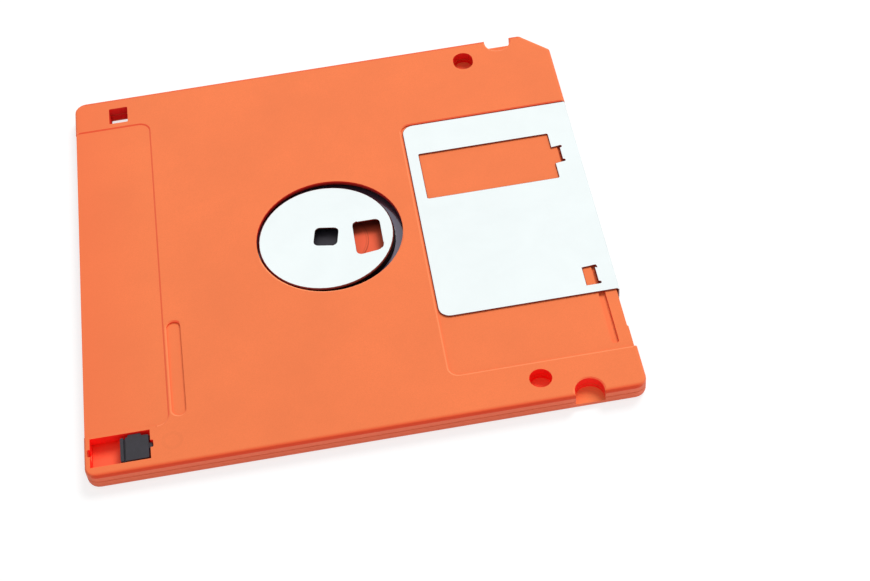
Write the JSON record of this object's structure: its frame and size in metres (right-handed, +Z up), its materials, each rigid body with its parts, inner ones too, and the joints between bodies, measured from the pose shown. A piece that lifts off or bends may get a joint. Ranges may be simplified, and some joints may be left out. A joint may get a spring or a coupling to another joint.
{
  "type": "floppy disk",
  "caption": "Flat square 3.5-inch floppy disk cartridge in orange plastic, with a sliding metal shutter, a metal drive hub, a write-protect slider and a magnetic disk inside.",
  "frame": {"origin": "middle of the resting face, under the centre of the bounding box, on the label side", "axes": "+X towards the edge with the shutter, +Y towards the side with the density hole and the cut corner, +Z up and out of the hub side"},
  "size_m": [0.0942, 0.09, 0.0033],
  "materials": {
    "orange_plastic": "fine moulded grain, satin",
    "bright_steel": "bright stainless sheet",
    "dark_plastic": "satin",
    "liner_fabric": "non-woven",
    "magnetic_coating": "thin coated film, half gloss",
    "spring_wire": "drawn wire",
    "adhesive": "dull",
    "clear_strip": "clear film"
  },
  "bodies": {
    "case": {"hub_side_shell": "orange_plastic", "label_side_shell": "orange_plastic", "hub_side_liner": "liner_fabric", "label_side_liner": "liner_fabric", "liner_lifter": "clear_strip", "hub_wear_pad": "dark_plastic", "shutter_spring": "spring_wire"},
    "shutter": {"shutter": "bright_steel"},
    "slider": {"write_protect_slider": "dark_plastic"},
    "disk": {"magnetic_film": "magnetic_coating", "hub_adhesive_ring": "adhesive", "hub_plate": "bright_steel"}
  },
  "joints": [
    {"name": "shutter_slide", "type": "slide", "parent": "case", "child": "shutter", "axis": [0, -1, 0], "range_m": [0, 0.0126], "stiffness_N_per_m": 30, "springref_m": -0.01, "deforming": ["shutter_spring"]},
    {"name": "write_protect_slide", "type": "slide", "parent": "case", "child": "slider", "axis": [-1, 0, 0], "range_m": [0, 0.0046]},
    {"name": "disk_spin", "type": "hinge", "parent": "case", "child": "disk", "pos_m": [-0.00195, -0.00033, 0.00165], "axis": [0, 0, 1], "continuous": true}
  ]
}
